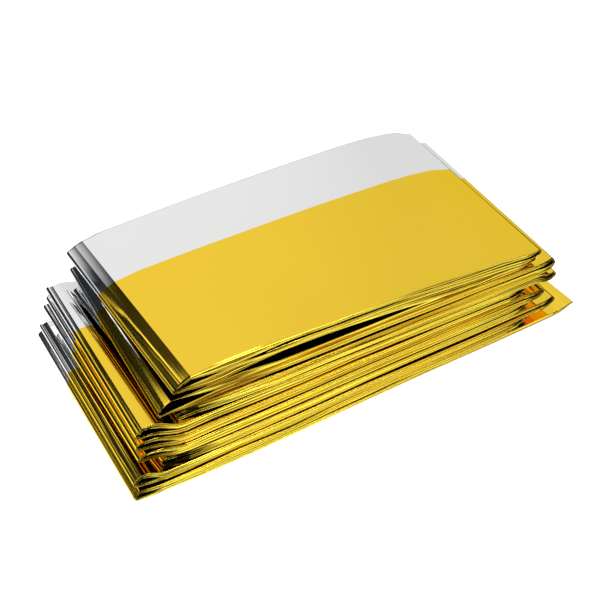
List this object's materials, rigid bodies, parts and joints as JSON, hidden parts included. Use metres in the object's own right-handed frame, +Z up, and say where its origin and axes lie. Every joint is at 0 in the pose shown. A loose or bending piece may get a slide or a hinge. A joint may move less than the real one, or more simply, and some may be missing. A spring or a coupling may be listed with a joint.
{
  "type": "folded emergency foil blanket",
  "caption": "Emergency foil blanket, gold outside and silver inside, opened from its packet and lying as a loose folded pack.",
  "frame": {"origin": "on the table under the middle of the pack's footprint", "axes": "+X along the leaves towards the bottom leaf's free end, +Y from the front folds to the back edge, +Z up"},
  "size_m": [0.1344, 0.064, 0.0299],
  "materials": {
    "film": "mirror-bright metallised film, gold on one face and silver on the other, lightly crinkled at the folds"
  },
  "bodies": {
    "root": {"foil_blanket": "film"}
  },
  "joints": []
}
